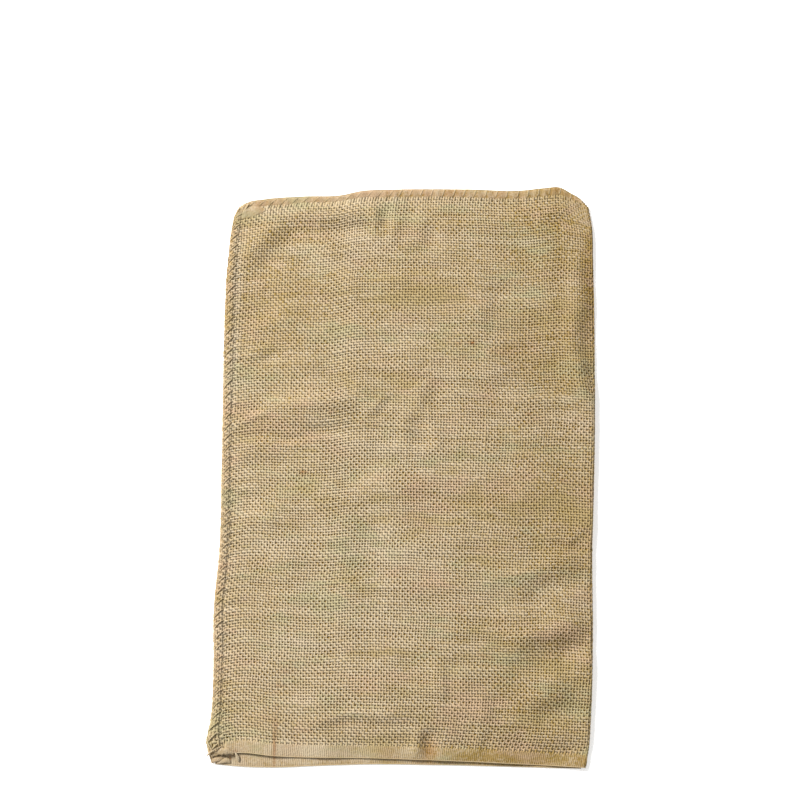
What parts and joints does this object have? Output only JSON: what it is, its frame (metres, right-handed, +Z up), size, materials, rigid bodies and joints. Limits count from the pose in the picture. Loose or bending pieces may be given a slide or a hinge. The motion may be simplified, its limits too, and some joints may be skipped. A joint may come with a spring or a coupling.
{
  "type": "jute sack",
  "caption": "Empty hessian sack lying flat, folded along one side, overcast along the other side and the closed end, open at the selvage mouth.",
  "frame": {"origin": "centre of the sack's box seen from above, on the surface that the sack lies on", "axes": "+Z up off the surface, +Y from the mouth to the closed end, +X from the sewn side to the folded side"},
  "size_m": [0.3894, 0.6086, 0.0121],
  "materials": {
    "jute": "undyed plain-weave jute, dry and matt, with open holes between the yarns"
  },
  "bodies": {
    "root": {"sack_cloth": "jute"}
  },
  "joints": []
}
